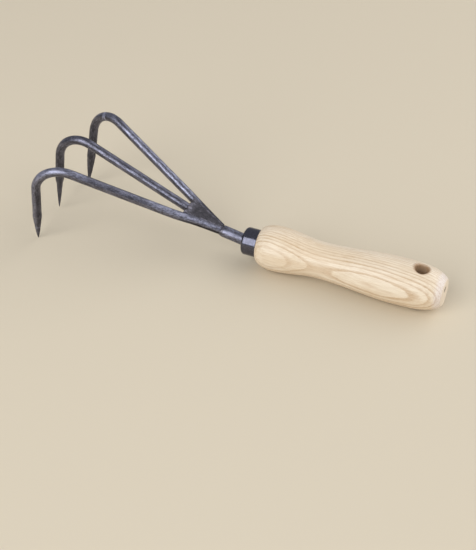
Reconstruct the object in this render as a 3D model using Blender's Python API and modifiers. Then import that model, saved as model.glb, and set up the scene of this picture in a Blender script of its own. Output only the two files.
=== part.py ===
# Three prong hand cultivator: a turned ash handle, a black steel ferrule and a welded head of three
# round tines with forged points. Metres, +Z up. The tool lies as it would on a bench, on the swell of
# its handle and the points of its outer tines, with the butt towards +X and the points towards -X.

from math import acos, cos, pi, radians, sin, sqrt, tan

import bmesh
import bpy
import numpy as np
from mathutils import Matrix, Vector

# Clearance between pieces that touch
FIT_GAP = 0.0003

# Turned handle, from its front shoulder to its flat butt
BULB_RADIUS = 0.0170
WAIST_RADIUS = 0.0136
SWELL_RADIUS = 0.0172
BUTT_FACE_RADIUS = 0.0095
SHOULDER_MARGIN = 0.0008
FRONT_LENGTH = 0.0142
BULB_TO_WAIST = 0.0345
WAIST_TO_SWELL = 0.0575
SWELL_TO_BUTT = 0.0353
BUTT_ROUNDNESS = 3.0
HANG_HOLE_RADIUS = 0.0048
HANG_HOLE_FROM_BUTT = 0.0184

# Ferrule cup
FERRULE_RADIUS = 0.0105
FERRULE_LENGTH = 0.0118
FERRULE_WALL = 0.0016
FERRULE_EDGE_RADIUS = 0.0020

# Neck, and the square tang that it becomes inside the handle. Its length runs from the point where
# the three stems meet to the handle's axis.
NECK_RADIUS = 0.0045
NECK_LENGTH = 0.0168
NECK_SLOPE = 10.6
NECK_BEND_RADIUS = 0.012
TANG_LENGTH = 0.062
TANG_SHOULDER_LENGTH = 0.009
TANG_ROOT_SIDE = 0.0074
TANG_END_SIDE = 0.0042

# Tines
TINE_RADIUS = 0.0035
FAN_ANGLE = 18.3
STEM_SLOPE = 23.7
OUTER_STEM_LENGTH = 0.1220
MIDDLE_STEM_LENGTH = 0.1202
BEND_RADIUS = 0.0202
BEND_ANGLE = 107.0
ROOT_SETBACK = 0.0025
WEDGE_END_WIDTH = 0.0026

# Forged spear point of each tine
POINT_LENGTH = 0.0245
POINT_SHOULDER_LENGTH = 0.0045
POINT_SHOULDER_SWELL = 1.04
POINT_FULLNESS = 0.66

# Head plate let into the tops of the tine roots
PLATE_LENGTH = 0.0295
PLATE_FRONT_WIDTH = 0.0196
PLATE_NOSE_WIDTH = 0.0042
PLATE_THICKNESS = 0.0025
PLATE_PROUD = 0.0001
PLATE_CORNER_RADIUS = 0.0010

# Welds
WELD_RING_WIDTH = 0.0016
WELD_RING_DEPTH = 0.0012
WELD_RING_CROWN = 0.00025
SEAM_RADIUS = 0.0016
SEAM_LENGTH = 0.015
SEAM_END_DEPTH = 0.0020

# How square a section is: 2 is a circle, and larger values near a square with rounded corners
ROUND = 2.0
SHOULDER_SQUARENESS = 2.3
POINT_SQUARENESS = 5.0
TANG_SQUARENESS = 6.0

# Facets
HANDLE_SIDES = 48
FERRULE_SIDES = 40
BAR_SIDES = 20
HOLE_SIDES = 28
RING_SIDES = 32
LONG_CURVE_STEPS = 12
CURVE_STEPS = 10
FRONT_STEPS = 8
SHORT_CURVE_STEPS = 6
BEND_STEPS = 16
CORNER_STEPS = 4
SHARP_ANGLE = 35.0

fanAngle = radians(FAN_ANGLE)
stemSlope = radians(STEM_SLOPE)
neckSlope = radians(NECK_SLOPE)
bendAngle = radians(BEND_ANGLE)
headKink = stemSlope - neckSlope
axisHeight = max(BULB_RADIUS, SWELL_RADIUS)
shoulderX = FERRULE_LENGTH + FIT_GAP
bulbX = shoulderX + FRONT_LENGTH
waistX = bulbX + BULB_TO_WAIST
swellX = waistX + WAIST_TO_SWELL
buttX = swellX + SWELL_TO_BUTT


def clear_scene():
    for old in list(bpy.data.objects):
        bpy.data.objects.remove(old, do_unlink=True)


def make_collection(name):
    collection = bpy.data.collections.new(name)
    bpy.context.scene.collection.children.link(collection)
    return collection


def make_material(name, colour, roughness, metallic):
    material = bpy.data.materials.new(name)
    material.use_nodes = True
    shader = material.node_tree.nodes["Principled BSDF"]
    shader.inputs["Base Color"].default_value = (*colour, 1.0)
    shader.inputs["Roughness"].default_value = roughness
    shader.inputs["Metallic"].default_value = metallic
    material.diffuse_color = (*colour, 1.0)
    return material


# A piece has a material. A cutter has none, and stays out of the finished part.
def place(obj, collection, material=None, matrix=None):
    collection.objects.link(obj)
    if matrix is not None:
        obj.matrix_world = matrix
    if material is not None:
        obj.data.materials.append(material)
    else:
        obj.hide_render = True
        obj.display_type = "WIRE"
    return obj


def mesh_object(name, bm):
    bmesh.ops.recalc_face_normals(bm, faces=bm.faces)
    mesh = bpy.data.meshes.new(name)
    bm.to_mesh(mesh)
    bm.free()
    mesh.shade_smooth()
    mesh.set_sharp_from_angle(angle=radians(SHARP_ANGLE))
    return bpy.data.objects.new(name, mesh)


# A profile of (radius, height) points, top to bottom on its outer side, turned about local Z.
def turned(name, profile, sides):
    mesh = bpy.data.meshes.new(name)
    edges = [(i, i + 1) for i in range(len(profile) - 1)]
    mesh.from_pydata([(radius, 0.0, height) for radius, height in profile], edges, [])
    obj = bpy.data.objects.new(name, mesh)
    screw = obj.modifiers.new("Turn", "SCREW")
    screw.steps = sides
    screw.render_steps = sides
    screw.use_merge_vertices = True
    screw.merge_threshold = 0.00001
    screw.use_smooth_shade = True
    return obj


def difference(obj, cutter):
    boolean = obj.modifiers.new("Cut " + cutter.name, "BOOLEAN")
    boolean.operation = "DIFFERENCE"
    boolean.solver = "EXACT"
    boolean.object = cutter


# A value that leaves the first and arrives at the second gently, as the swells of a turned grip do.
def eased(first, second, share):
    return first + (second - first) * (1.0 - cos(pi * share)) / 2.0


# A closed ring of points across the bar, from a circle to a square with rounded corners.
def section(halfSize, squareness):
    angles = (np.arange(BAR_SIDES) + 0.5) * 2.0 * pi / BAR_SIDES
    c, s = np.cos(angles), np.sin(angles)
    return halfSize * np.column_stack([np.sign(c) * np.abs(c) ** (2.0 / squareness),
                                       np.sign(s) * np.abs(s) ** (2.0 / squareness)])


# A skin over sections that stand square to a path in the local XZ plane. Each station is
# (x, z, direction of travel, half size, squareness). A closing point, if given, ends it sharp.
def loft(stations, tip=None):
    bm = bmesh.new()
    rings = []
    for x, z, heading, halfSize, squareness in stations:
        ring = []
        for side, rise in section(halfSize, squareness):
            ring.append(bm.verts.new((x - rise * sin(heading), side, z + rise * cos(heading))))
        rings.append(ring)
    for first, second in zip(rings, rings[1:]):
        for i in range(BAR_SIDES):
            j = (i + 1) % BAR_SIDES
            bm.faces.new((first[i], first[j], second[j], second[i]))
    bm.faces.new(rings[0])
    if tip is None:
        bm.faces.new(rings[-1])
    else:
        point = bm.verts.new((tip[0], 0.0, tip[1]))
        for i in range(BAR_SIDES):
            bm.faces.new((rings[-1][i], rings[-1][(i + 1) % BAR_SIDES], point))
    return bm


# Removes what lies beyond a plane and closes the cut with one face.
def trim(bm, point, normal):
    everything = bm.verts[:] + bm.edges[:] + bm.faces[:]
    bmesh.ops.bisect_plane(bm, geom=everything, dist=1e-7, plane_co=point, plane_no=normal,
                           clear_outer=True)
    rim = [edge for edge in bm.edges if edge.is_boundary]
    if rim:
        bmesh.ops.holes_fill(bm, edges=rim, sides=0)


# Handle: straight turned axis along local Z, from the butt's dome to the tenon.
def handle_profile():
    tenonRadius = FERRULE_RADIUS - FERRULE_WALL - FIT_GAP
    tenonFront = FERRULE_WALL + FIT_GAP
    shoulderRadius = FERRULE_RADIUS + SHOULDER_MARGIN

    def dome(radius):
        return max(0.0, 1.0 - (radius / SWELL_RADIUS) ** BUTT_ROUNDNESS) ** (1.0 / BUTT_ROUNDNESS)

    domeReach = SWELL_TO_BUTT / dome(BUTT_FACE_RADIUS)
    points = [(0.0, buttX)]
    for i in range(LONG_CURVE_STEPS + 1):
        turn = pi / 2 * i / LONG_CURVE_STEPS
        radius = BUTT_FACE_RADIUS + (SWELL_RADIUS - BUTT_FACE_RADIUS) * sin(turn)
        points.append((radius, swellX + domeReach * dome(radius)))
    for i in range(1, LONG_CURVE_STEPS + 1):
        share = i / LONG_CURVE_STEPS
        points.append((eased(SWELL_RADIUS, WAIST_RADIUS, share), swellX - WAIST_TO_SWELL * share))
    for i in range(1, CURVE_STEPS + 1):
        share = i / CURVE_STEPS
        points.append((eased(WAIST_RADIUS, BULB_RADIUS, share), waistX - BULB_TO_WAIST * share))
    for i in range(1, FRONT_STEPS + 1):
        turn = pi / 2 * i / FRONT_STEPS
        points.append((shoulderRadius + (BULB_RADIUS - shoulderRadius) * cos(turn),
                       bulbX - FRONT_LENGTH * sin(turn)))
    points += [(tenonRadius, shoulderX), (tenonRadius, tenonFront), (0.0, tenonFront)]
    return points


def handle_matrix():
    return Matrix.Translation((0.0, 0.0, axisHeight)) @ Matrix.Rotation(pi / 2, 4, "Y")


def build_handle(parts, cutters, material, socket):
    handle = place(turned("handle", handle_profile(), HANDLE_SIDES), parts, material, handle_matrix())
    bm = bmesh.new()
    bmesh.ops.create_cone(bm, cap_ends=True, segments=HOLE_SIDES, radius1=HANG_HOLE_RADIUS,
                          radius2=HANG_HOLE_RADIUS, depth=3.0 * axisHeight)
    drill = mesh_object("hang_hole_drill", bm)
    place(drill, cutters, matrix=Matrix.Translation((buttX - HANG_HOLE_FROM_BUTT, 0.0, axisHeight)))
    difference(handle, drill)
    difference(handle, socket)


# Ferrule: a cup with a rounded front edge that slides over the handle's tenon.
def build_ferrule(parts, material, socket):
    inner = FERRULE_RADIUS - FERRULE_WALL
    profile = [(0.0, FERRULE_WALL), (inner, FERRULE_WALL), (inner, FERRULE_LENGTH),
               (FERRULE_RADIUS, FERRULE_LENGTH)]
    for i in range(SHORT_CURVE_STEPS + 1):
        turn = pi / 2 * i / SHORT_CURVE_STEPS
        profile.append((FERRULE_RADIUS - FERRULE_EDGE_RADIUS * (1.0 - cos(turn)),
                        FERRULE_EDGE_RADIUS * (1.0 - sin(turn))))
    profile.append((0.0, 0.0))
    ferrule = place(turned("ferrule", profile, FERRULE_SIDES), parts, material, handle_matrix())
    difference(ferrule, socket)


# The point where the axes of the neck and the three stems meet.
def head_point():
    return Vector((-NECK_LENGTH * cos(neckSlope), 0.0, axisHeight + NECK_LENGTH * sin(neckSlope)))


# The line that the neck follows, from the head down to the handle's axis and on inside it.
# grow thickens it all round, which gives the socket that the wood and the ferrule are cut with.
def neck_stations(grow):
    head = head_point()
    stations = []

    def sloping(distance, radius):
        stations.append((head.x + distance * cos(neckSlope), head.z - distance * sin(neckSlope),
                         -neckSlope, radius, ROUND))

    if grow:
        sloping(NECK_LENGTH / 2, NECK_RADIUS + grow)
    else:
        grooveRadius = NECK_RADIUS - WELD_RING_DEPTH
        sloping(-ROOT_SETBACK, grooveRadius)
        sloping(WELD_RING_WIDTH - ROOT_SETBACK, grooveRadius)
        sloping(WELD_RING_WIDTH - ROOT_SETBACK, NECK_RADIUS)
    bendEndX = NECK_BEND_RADIUS * tan(neckSlope / 2)
    for i in range(SHORT_CURVE_STEPS + 1):
        heading = -neckSlope * (1.0 - i / SHORT_CURVE_STEPS)
        stations.append((bendEndX + NECK_BEND_RADIUS * sin(heading),
                         axisHeight + NECK_BEND_RADIUS * (1.0 - cos(heading)),
                         heading, NECK_RADIUS + grow, ROUND))
    for i in range(1, SHORT_CURVE_STEPS + 1):
        share = i / SHORT_CURVE_STEPS
        halfSize = NECK_RADIUS + (TANG_ROOT_SIDE / 2 - NECK_RADIUS) * share
        stations.append((bendEndX + TANG_SHOULDER_LENGTH * share, axisHeight, 0.0, halfSize + grow,
                         ROUND + (TANG_SQUARENESS - ROUND) * share))
    endX = bendEndX + TANG_SHOULDER_LENGTH + TANG_LENGTH
    stations.append((endX + grow, axisHeight, 0.0, TANG_END_SIDE / 2 + grow, TANG_SQUARENESS))
    return stations


def build_neck(parts, cutters, material):
    place(mesh_object("neck_and_tang", loft(neck_stations(0.0))), parts, material)
    return place(mesh_object("tang_socket", loft(neck_stations(FIT_GAP))), cutters)


# Frame of the fan: origin where the three stems and the neck meet, X along the middle stem,
# Y to the tool's left, Z square to the stems.
def fan_matrix():
    forward = Vector((-cos(stemSlope), 0.0, sin(stemSlope)))
    up = Vector((sin(stemSlope), 0.0, cos(stemSlope)))
    matrix = Matrix((forward, up.cross(forward), up)).transposed().to_4x4()
    matrix.translation = head_point()
    return matrix


# Height above the bench of a point of a tine that is turned by angle in the fan.
def bench_height(x, z, angle):
    return (fan_matrix() @ Matrix.Rotation(angle, 4, "Z") @ Vector((x, 0.0, z))).z


# Length of straight prong that brings the outer points down to the bench.
def prong_length():
    endX = OUTER_STEM_LENGTH + BEND_RADIUS * sin(bendAngle)
    endZ = -BEND_RADIUS * (1.0 - cos(bendAngle))
    height = bench_height(endX, endZ, fanAngle)
    dropEachMetre = height - bench_height(endX + cos(bendAngle), endZ - sin(bendAngle), fanAngle)
    return height / dropEachMetre


# One tine along local X: stem, bend, prong and a spear point that narrows faster near its end.
def tine_mesh(stemLength):
    prong = prong_length()
    stations = [(0.0, 0.0, 0.0, TINE_RADIUS, ROUND), (stemLength, 0.0, 0.0, TINE_RADIUS, ROUND)]
    for i in range(1, BEND_STEPS + 1):
        turn = bendAngle * i / BEND_STEPS
        stations.append((stemLength + BEND_RADIUS * sin(turn), -BEND_RADIUS * (1.0 - cos(turn)),
                         -turn, TINE_RADIUS, ROUND))
    prongX, prongZ = stations[-1][0], stations[-1][1]

    def down(distance, halfSize, squareness):
        stations.append((prongX + distance * cos(bendAngle), prongZ - distance * sin(bendAngle),
                         -bendAngle, halfSize, squareness))

    down(prong - POINT_LENGTH - POINT_SHOULDER_LENGTH, TINE_RADIUS, ROUND)
    down(prong - POINT_LENGTH, TINE_RADIUS * POINT_SHOULDER_SWELL, SHOULDER_SQUARENESS)
    for left in (0.93, 0.85, 0.74, 0.60, 0.45, 0.31, 0.18, 0.08, 0.02):
        flattened = min(1.0, 4.0 * (1.0 - left))
        squareness = SHOULDER_SQUARENESS + (POINT_SQUARENESS - SHOULDER_SQUARENESS) * flattened
        down(prong - POINT_LENGTH * left, TINE_RADIUS * left ** POINT_FULLNESS, squareness)
    tip = (prongX + prong * cos(bendAngle), prongZ - prong * sin(bendAngle))
    return loft(stations, tip)


# Direction of the neck seen in the fan's frame, pointing away from the handle.
def neck_direction():
    return Vector((cos(headKink), 0.0, -sin(headKink)))


# Roots of the tines: all start at the face of the neck's weld. The outer two are mitred to each
# other, and the middle one is cut to a wedge that lies between them.
def trim_root(bm, angle):
    turnedBack = Matrix.Rotation(-angle, 4, "Z")
    face = neck_direction() * (ROOT_SETBACK + FIT_GAP)
    trim(bm, turnedBack @ face, -(turnedBack @ neck_direction()))
    if angle:
        side = 1.0 if angle > 0 else -1.0
        trim(bm, turnedBack @ Vector((0.0, side * FIT_GAP / 2, 0.0)),
             turnedBack @ Vector((0.0, -side, 0.0)))
        return
    offset = TINE_RADIUS + FIT_GAP
    for side in (1.0, -1.0):
        normal = Vector((-sin(fanAngle), side * cos(fanAngle), 0.0))
        trim(bm, normal * -offset, normal)
    wedgeX = (offset / cos(fanAngle) + WEDGE_END_WIDTH / 2) / tan(fanAngle)
    trim(bm, Vector((wedgeX, 0.0, 0.0)), Vector((-1.0, 0.0, 0.0)))


def build_tines(parts, material, pocket):
    for name, angle, stemLength in (("tine_left", fanAngle, OUTER_STEM_LENGTH),
                                    ("tine_middle", 0.0, MIDDLE_STEM_LENGTH),
                                    ("tine_right", -fanAngle, OUTER_STEM_LENGTH)):
        bm = tine_mesh(stemLength)
        trim_root(bm, angle)
        tine = place(mesh_object(name, bm), parts, material,
                     fan_matrix() @ Matrix.Rotation(angle, 4, "Z"))
        difference(tine, pocket)


# Height of the plate's upper face in the fan's frame, level with the crowns of the bars.
def plate_top():
    return TINE_RADIUS + PLATE_PROUD


# Outline of the plate: a tapered tongue with rounded corners, nose at the neck, grown all round.
def plate_outline(grow):
    noseX = (ROOT_SETBACK + 2.0 * FIT_GAP + plate_top() * sin(headKink)) / cos(headKink)
    corners = [(noseX, PLATE_NOSE_WIDTH / 2), (noseX + PLATE_LENGTH, PLATE_FRONT_WIDTH / 2)]
    corners += [(x, -y) for x, y in reversed(corners)]
    outline = []
    for i, corner in enumerate(corners):
        here = Vector(corner)
        back = (Vector(corners[i - 1]) - here).normalized()
        ahead = (Vector(corners[(i + 1) % len(corners)]) - here).normalized()
        half = acos(max(-1.0, min(1.0, back.dot(ahead)))) / 2
        centre = here + (back + ahead).normalized() * PLATE_CORNER_RADIUS / sin(half)
        start = (here + back * PLATE_CORNER_RADIUS / tan(half) - centre).normalized()
        sweep = pi - 2.0 * half
        for step in range(CORNER_STEPS + 1):
            turn = Matrix.Rotation(-sweep * step / CORNER_STEPS, 2)
            outline.append(centre + (turn @ start) * (PLATE_CORNER_RADIUS + grow))
    return outline


def plate_mesh(name, grow, bottom, top):
    curve = bpy.data.curves.new(name, "CURVE")
    curve.dimensions = "2D"
    curve.fill_mode = "BOTH"
    curve.extrude = (top - bottom) / 2
    outline = plate_outline(grow)
    spline = curve.splines.new("POLY")
    spline.points.add(len(outline) - 1)
    for point, corner in zip(spline.points, outline):
        point.co = (corner[0], corner[1], 0.0, 1.0)
    spline.use_cyclic_u = True
    flat = bpy.data.objects.new(name + "_outline", curve)
    bpy.context.scene.collection.objects.link(flat)
    bpy.context.view_layer.update()
    evaluated = flat.evaluated_get(bpy.context.evaluated_depsgraph_get())
    mesh = bpy.data.meshes.new_from_object(evaluated)
    bpy.data.objects.remove(flat, do_unlink=True)
    bm = bmesh.new()
    bm.from_mesh(mesh)
    bpy.data.meshes.remove(mesh)
    bmesh.ops.remove_doubles(bm, verts=bm.verts, dist=0.000001)
    bmesh.ops.translate(bm, verts=bm.verts, vec=(0.0, 0.0, (top + bottom) / 2))
    return mesh_object(name, bm)


def build_plate(parts, cutters, material):
    bottom = plate_top() - PLATE_THICKNESS
    place(plate_mesh("head_plate", 0.0, bottom, plate_top()), parts, material, fan_matrix())
    pocket = plate_mesh("plate_pocket", FIT_GAP, bottom - FIT_GAP, plate_top() + TINE_RADIUS)
    return place(pocket, cutters, matrix=fan_matrix())


# Ring of weld metal in the groove turned into the neck's end, slightly crowned.
def build_neck_weld(parts, material):
    inner = NECK_RADIUS - WELD_RING_DEPTH + FIT_GAP
    width = WELD_RING_WIDTH - FIT_GAP
    profile = [(inner, 0.0), (inner, width)]
    for i in range(SHORT_CURVE_STEPS + 1):
        share = i / SHORT_CURVE_STEPS
        profile.append((NECK_RADIUS + WELD_RING_CROWN * sin(pi * share), width * (1.0 - share)))
    profile.append((inner, 0.0))
    ring = turned("weld_neck", profile, RING_SIDES)
    along = Matrix.Translation(neck_direction() * (ROOT_SETBACK - width))
    place(ring, parts, material, fan_matrix() @ along @ Matrix.Rotation(pi / 2 + headKink, 4, "Y"))


# Bead of weld under the head: its axis is where a ball would rest in the valley between the
# middle tine and an outer one, so it follows both bars.
def build_seam_weld(parts, material, name, side):
    reach = TINE_RADIUS + FIT_GAP + SEAM_RADIUS
    spread = sin(fanAngle / 2)
    end = sqrt(reach ** 2 - SEAM_END_DEPTH ** 2) / spread
    curve = bpy.data.curves.new(name, "CURVE")
    curve.dimensions = "3D"
    curve.bevel_depth = SEAM_RADIUS
    curve.bevel_resolution = 2
    curve.use_fill_caps = True
    spline = curve.splines.new("POLY")
    spline.points.add(FRONT_STEPS)
    for i, point in enumerate(spline.points):
        along = end - SEAM_LENGTH * (1.0 - i / FRONT_STEPS)
        depth = -sqrt(reach ** 2 - (along * spread) ** 2)
        point.co = (along * cos(fanAngle / 2), side * along * spread, depth, 1.0)
    place(bpy.data.objects.new(name, curve), parts, material, fan_matrix())


# How far the tool has to move along X to bring the middle of its length over the origin.
def shift_to_origin(parts):
    bpy.context.view_layer.update()
    depsgraph = bpy.context.evaluated_depsgraph_get()
    ends = []
    for obj in parts.objects:
        evaluated = obj.evaluated_get(depsgraph)
        mesh = evaluated.to_mesh()
        ends += [(evaluated.matrix_world @ vertex.co).x for vertex in mesh.vertices]
        evaluated.to_mesh_clear()
    return -(min(ends) + max(ends)) / 2


def main():
    clear_scene()
    parts = make_collection("hand_cultivator")
    cutters = make_collection("cutters")
    ash = make_material("pale_ash", (0.80, 0.66, 0.48), 0.55, 0.0)
    blackSteel = make_material("blackened_steel", (0.06, 0.06, 0.065), 0.45, 0.8)
    forgedSteel = make_material("forged_steel", (0.14, 0.135, 0.145), 0.42, 0.9)
    plateSteel = make_material("dark_plate_steel", (0.07, 0.068, 0.07), 0.6, 0.8)
    weldSteel = make_material("weld_metal", (0.12, 0.12, 0.125), 0.5, 0.9)
    socket = build_neck(parts, cutters, forgedSteel)
    build_handle(parts, cutters, ash, socket)
    build_ferrule(parts, blackSteel, socket)
    pocket = build_plate(parts, cutters, plateSteel)
    build_tines(parts, forgedSteel, pocket)
    build_neck_weld(parts, weldSteel)
    build_seam_weld(parts, weldSteel, "weld_seam_left", 1.0)
    build_seam_weld(parts, weldSteel, "weld_seam_right", -1.0)
    shift = shift_to_origin(parts)
    for obj in list(parts.objects) + list(cutters.objects):
        obj.location.x += shift
    bpy.context.view_layer.update()


main()
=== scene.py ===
import math

import bmesh
import bpy
import numpy as np
from mathutils import Matrix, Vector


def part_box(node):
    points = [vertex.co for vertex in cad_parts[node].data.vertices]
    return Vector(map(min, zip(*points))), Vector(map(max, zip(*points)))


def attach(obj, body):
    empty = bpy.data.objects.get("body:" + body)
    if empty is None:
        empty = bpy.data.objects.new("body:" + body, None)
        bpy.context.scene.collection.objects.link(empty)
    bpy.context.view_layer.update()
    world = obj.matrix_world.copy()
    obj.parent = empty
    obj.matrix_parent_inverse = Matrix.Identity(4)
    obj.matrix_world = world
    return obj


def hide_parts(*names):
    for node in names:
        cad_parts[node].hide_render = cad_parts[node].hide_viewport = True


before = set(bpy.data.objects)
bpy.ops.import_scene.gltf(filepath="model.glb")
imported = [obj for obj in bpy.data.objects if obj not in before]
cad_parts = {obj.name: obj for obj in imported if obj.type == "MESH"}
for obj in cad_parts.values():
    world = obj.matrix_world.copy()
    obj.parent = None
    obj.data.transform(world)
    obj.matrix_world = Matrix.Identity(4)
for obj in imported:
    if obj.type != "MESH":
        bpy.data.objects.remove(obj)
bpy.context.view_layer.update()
print("frame loaded with", len(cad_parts), "solids")

# Everything is in metres in the frame of the solids: butt towards +X, points towards -X, +Z up.
# "along" is measured from the ferrule's front face towards the butt.
ferruleLow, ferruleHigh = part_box("ferrule")
ferruleFront = ferruleLow.x
ferruleLength = ferruleHigh.x - ferruleLow.x
ferruleRadius = (ferruleHigh.z - ferruleLow.z) / 2
axisHeight = (ferruleLow.z + ferruleHigh.z) / 2
gap = 0.0003  # between pieces that touch
mm = 1000.0  # materials are worked out in millimetres
quarter = np.pi / 2  # of a turn
tiny = 1e-6  # less than any measure here
onePoint = 2e-7  # points closer than this are one

scene = bpy.context.scene
tool = bpy.data.collections.new("hand_cultivator")
scene.collection.children.link(tool)


def smooth(share):  # 0 to 1 with a level start and end: the square times 3 less twice the share
    share = np.clip(share, 0.0, 1.0)
    return share * share * (3.0 - 2.0 * share)


def eased(first, second, share):  # half a cosine wave from the first value to the second
    return first + (second - first) * (1.0 - np.cos(np.pi * np.clip(share, 0.0, 1.0))) / 2.0


def after(first, last, steps):  # even steps from the first value to the last, with the first left out
    return np.linspace(first, last, steps + 1)[1:]


def around(columns):  # even angles round a circle
    return np.arange(columns) * 2.0 * np.pi / columns


def unitLong(vectors):  # each vector over its own length
    return vectors / np.linalg.norm(vectors, axis=-1, keepdims=True)


def ripple(places, wavelength, seed, waves=16, broadest=0.6, finest=1.5):
    # plane waves in random directions, each a cosine of the place along its direction, added up:
    # a soft unevenness of about -1 to 1 with bumps about one wavelength apart
    pick = np.random.default_rng(seed)
    ways = unitLong(pick.normal(size=(waves, 3)))
    ways *= (2.0 * np.pi / wavelength * pick.uniform(broadest, finest, waves))[:, None]
    phases = pick.uniform(0.0, 2.0 * np.pi, waves)
    return np.cos(places @ ways.T + phases).sum(-1) / math.sqrt(2.0 * waves)


def dents(places, wavelength, seed, deepest=2.2):
    # the ripple plus 1, cut off at 0 and the deepest, so that taking it away never adds metal
    return np.clip(1.0 + ripple(places, wavelength, seed), 0.0, deepest)


def sections(columns, squareness, thick, wide):
    # superellipses: each half width times the cosine or sine raised to 2/squareness with its sign
    # kept, so 2 is a round bar and larger values near a square one with rounded corners
    angles = around(columns) + np.pi / columns
    power = 2.0 / squareness[:, None]
    side, rise = [np.sign(wave) * np.abs(wave) ** power for wave in (np.cos(angles), np.sin(angles))]
    return side * thick[:, None], rise * wide[:, None]


def stations(*columns):  # one row for each section; a value that stays the same may be a single number
    return np.column_stack(np.broadcast_arrays(*columns))


def quads(rows, columns, first, wrapped):
    # point numbers of each square between neighbouring rows and columns: row times columns plus column
    i, j = np.meshgrid(np.arange(rows - 1), np.arange(columns if wrapped else columns - 1), indexing="ij")
    k = (j + 1) % columns
    corners = [i * columns + j, i * columns + k, (i + 1) * columns + k, (i + 1) * columns + j]
    return first + np.stack(corners, -1).reshape(-1, 4)


def makePiece(name, grids, material, node, sharpAngle=38.0, places=None):
    # each grid is (rows x columns x 3 points, wrapped round or not); edges that meet are welded, and
    # the piece takes the place of the solid's node
    first, points, faces = 0, [], []
    for grid, wrapped in grids:
        rows, columns = grid.shape[:2]
        faces.append(quads(rows, columns, first, wrapped))
        points.append(grid.reshape(-1, 3))
        first += rows * columns
    mesh = bpy.data.meshes.new(name)
    mesh.from_pydata(np.concatenate(points).tolist(), [], np.concatenate(faces).tolist())
    if places is not None:  # where each point would be if the bar were straight
        layer = mesh.attributes.new("place", "FLOAT_VECTOR", "POINT")
        layer.data.foreach_set("vector", (places * mm).astype(np.float32).ravel())
    bm = bmesh.new()
    bm.from_mesh(mesh)
    bmesh.ops.remove_doubles(bm, verts=bm.verts, dist=onePoint)
    bmesh.ops.recalc_face_normals(bm, faces=bm.faces)
    bm.to_mesh(mesh)
    bm.free()
    mesh.shade_smooth()
    mesh.set_sharp_from_angle(angle=math.radians(sharpAngle))
    mesh.materials.append(material)
    piece = bpy.data.objects.new(name, mesh)
    tool.objects.link(piece)
    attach(piece, "root")
    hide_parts(node)


# Materials
metal = {"Metallic": 1.0}


def srgb(red, green, blue):  # a colour as a picture shows it, 0 to 255, made linear
    values = [c / 255.0 for c in (red, green, blue)]
    return (*[c / 12.92 if c <= 0.04045 else ((c + 0.055) / 1.055) ** 2.4 for c in values], 1.0)


class Shade:  # a value that a material's nodes work out: a sum on it adds a node for that sum
    def __init__(self, socket):
        self.socket = socket
        self.tree = socket.id_data

    def calc(self, operation, *others):  # the operation on this value and the others
        inputs = dict(enumerate((self, *others)))
        return addNode(self.tree, "ShaderNodeMath", inputs, 0, operation=operation)

    def __add__(self, other):
        return self.calc("ADD", other)

    def __sub__(self, other):
        return self.calc("SUBTRACT", other)

    def __mul__(self, other):
        return self.calc("MULTIPLY", other)

    def __truediv__(self, other):
        return self.calc("DIVIDE", other)

    def __abs__(self):
        return self.calc("ABSOLUTE")

    def swayed(self, noise, reach):  # moved by the noise, up to the reach either way
        return self + (noise - 0.5) * (2.0 * reach)

    def between(self, low, high, atLow=0.0, atHigh=1.0):  # a smooth step from atLow to atHigh
        inputs = {"Value": self, "From Min": low, "From Max": high, "To Min": atLow, "To Max": atHigh}
        return addNode(self.tree, "ShaderNodeMapRange", inputs, "Result", interpolation_type="SMOOTHSTEP")

    def fading(self, start, end, lengths):
        # a smooth step up after the start times one down before the end, each over its own length
        return self.between(start, start + lengths[0]) * self.between(end - lengths[1], end, 1.0, 0.0)

    def curved(self, factors):
        # the first factor, plus the second times the value, plus the third times its square
        return (self * factors[2] + factors[1]) * self + factors[0]

    def counted(self, steps, reach):
        # straight lines between the steps: the first step counts 1, the second 2 and so on
        curve = self.tree.nodes.new("ShaderNodeFloatCurve")
        shape = curve.mapping.curves[0]
        total = len(steps) + 1
        shape.points[0].location = (0.0, 0.0)
        shape.points[1].location = (1.0, 1.0)
        for i, step in enumerate(steps):
            shape.points.new((step + reach) / (2.0 * reach), (i + 1) / total)
        for point in shape.points:
            point.handle_type = "VECTOR"
        curve.mapping.update()
        share = (self + reach) / (2.0 * reach)
        self.tree.links.new(share.socket, curve.inputs["Value"])
        return Shade(curve.outputs["Value"]) * total


def addNode(tree, kind, inputs, output, **settings):  # each input is a Shade or a fixed value
    made = tree.nodes.new(kind)
    for key, value in settings.items():
        setattr(made, key, value)
    for key, value in inputs.items():
        if isinstance(value, Shade):
            tree.links.new(value.socket, made.inputs[key])
        else:
            made.inputs[key].default_value = value
    return Shade(made.outputs[output])


def vectorCalc(operation, first, second):  # one number from two places
    return addNode(first.tree, "ShaderNodeVectorMath", {0: first, 1: second}, "Value", operation=operation)


def scaled(place, scale, shift=(0.0, 0.0, 0.0)):  # each part of the place times its scale, plus its shift
    inputs = {"Vector": place, "Scale": scale, "Location": shift}
    return addNode(place.tree, "ShaderNodeMapping", inputs, "Vector")


def cloud(place, scale, detail, roughness, *shift):
    # soft noise from 0 to 1; three numbers for its scale stretch it, and a shift takes another part
    if isinstance(scale, tuple):
        place, scale = scaled(place, scale, *shift), 1.0
    inputs = {"Vector": place, "Scale": scale, "Detail": detail, "Roughness": roughness}
    return addNode(place.tree, "ShaderNodeTexNoise", inputs, "Fac")


def mixed(share, first, second):  # the second colour over the first, as far as the share says
    return addNode(share.tree, "ShaderNodeMix", {0: share, 6: first, 7: second}, 2, data_type="RGBA")


def objectPlace(tree):  # millimetres in the frame of the solids
    return scaled(addNode(tree, "ShaderNodeTexCoord", {}, "Object"), (mm, mm, mm))


def barPlace(tree):  # millimetres along and across the straightened bar
    return addNode(tree, "ShaderNodeAttribute", {}, "Vector", attribute_name="place")


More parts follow.
